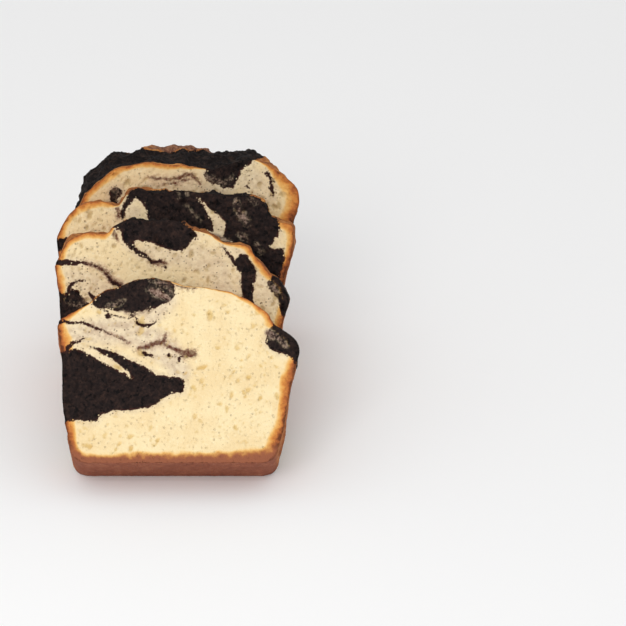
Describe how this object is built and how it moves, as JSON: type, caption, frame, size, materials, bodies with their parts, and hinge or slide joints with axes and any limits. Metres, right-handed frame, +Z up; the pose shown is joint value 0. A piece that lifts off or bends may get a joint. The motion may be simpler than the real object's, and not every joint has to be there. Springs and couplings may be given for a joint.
{
  "type": "loaf cake",
  "caption": "Chocolate-marbled cream loaf cake cut into thick slices that lean back on one another, ending in the loaf's baked heel.",
  "frame": {"origin": "bottom centre of the bounding box of the whole leaning row", "axes": "+X across the loaf, to the right seen from the front slice; +Y along the loaf from the front slice to the heel; +Z up"},
  "size_m": [0.1058, 0.1684, 0.087],
  "materials": {
    "marbled_cake": "matt, porous crumb"
  },
  "bodies": {
    "root": {"slice_1": "marbled_cake", "slice_2": "marbled_cake", "slice_3": "marbled_cake", "slice_4": "marbled_cake"}
  },
  "joints": []
}
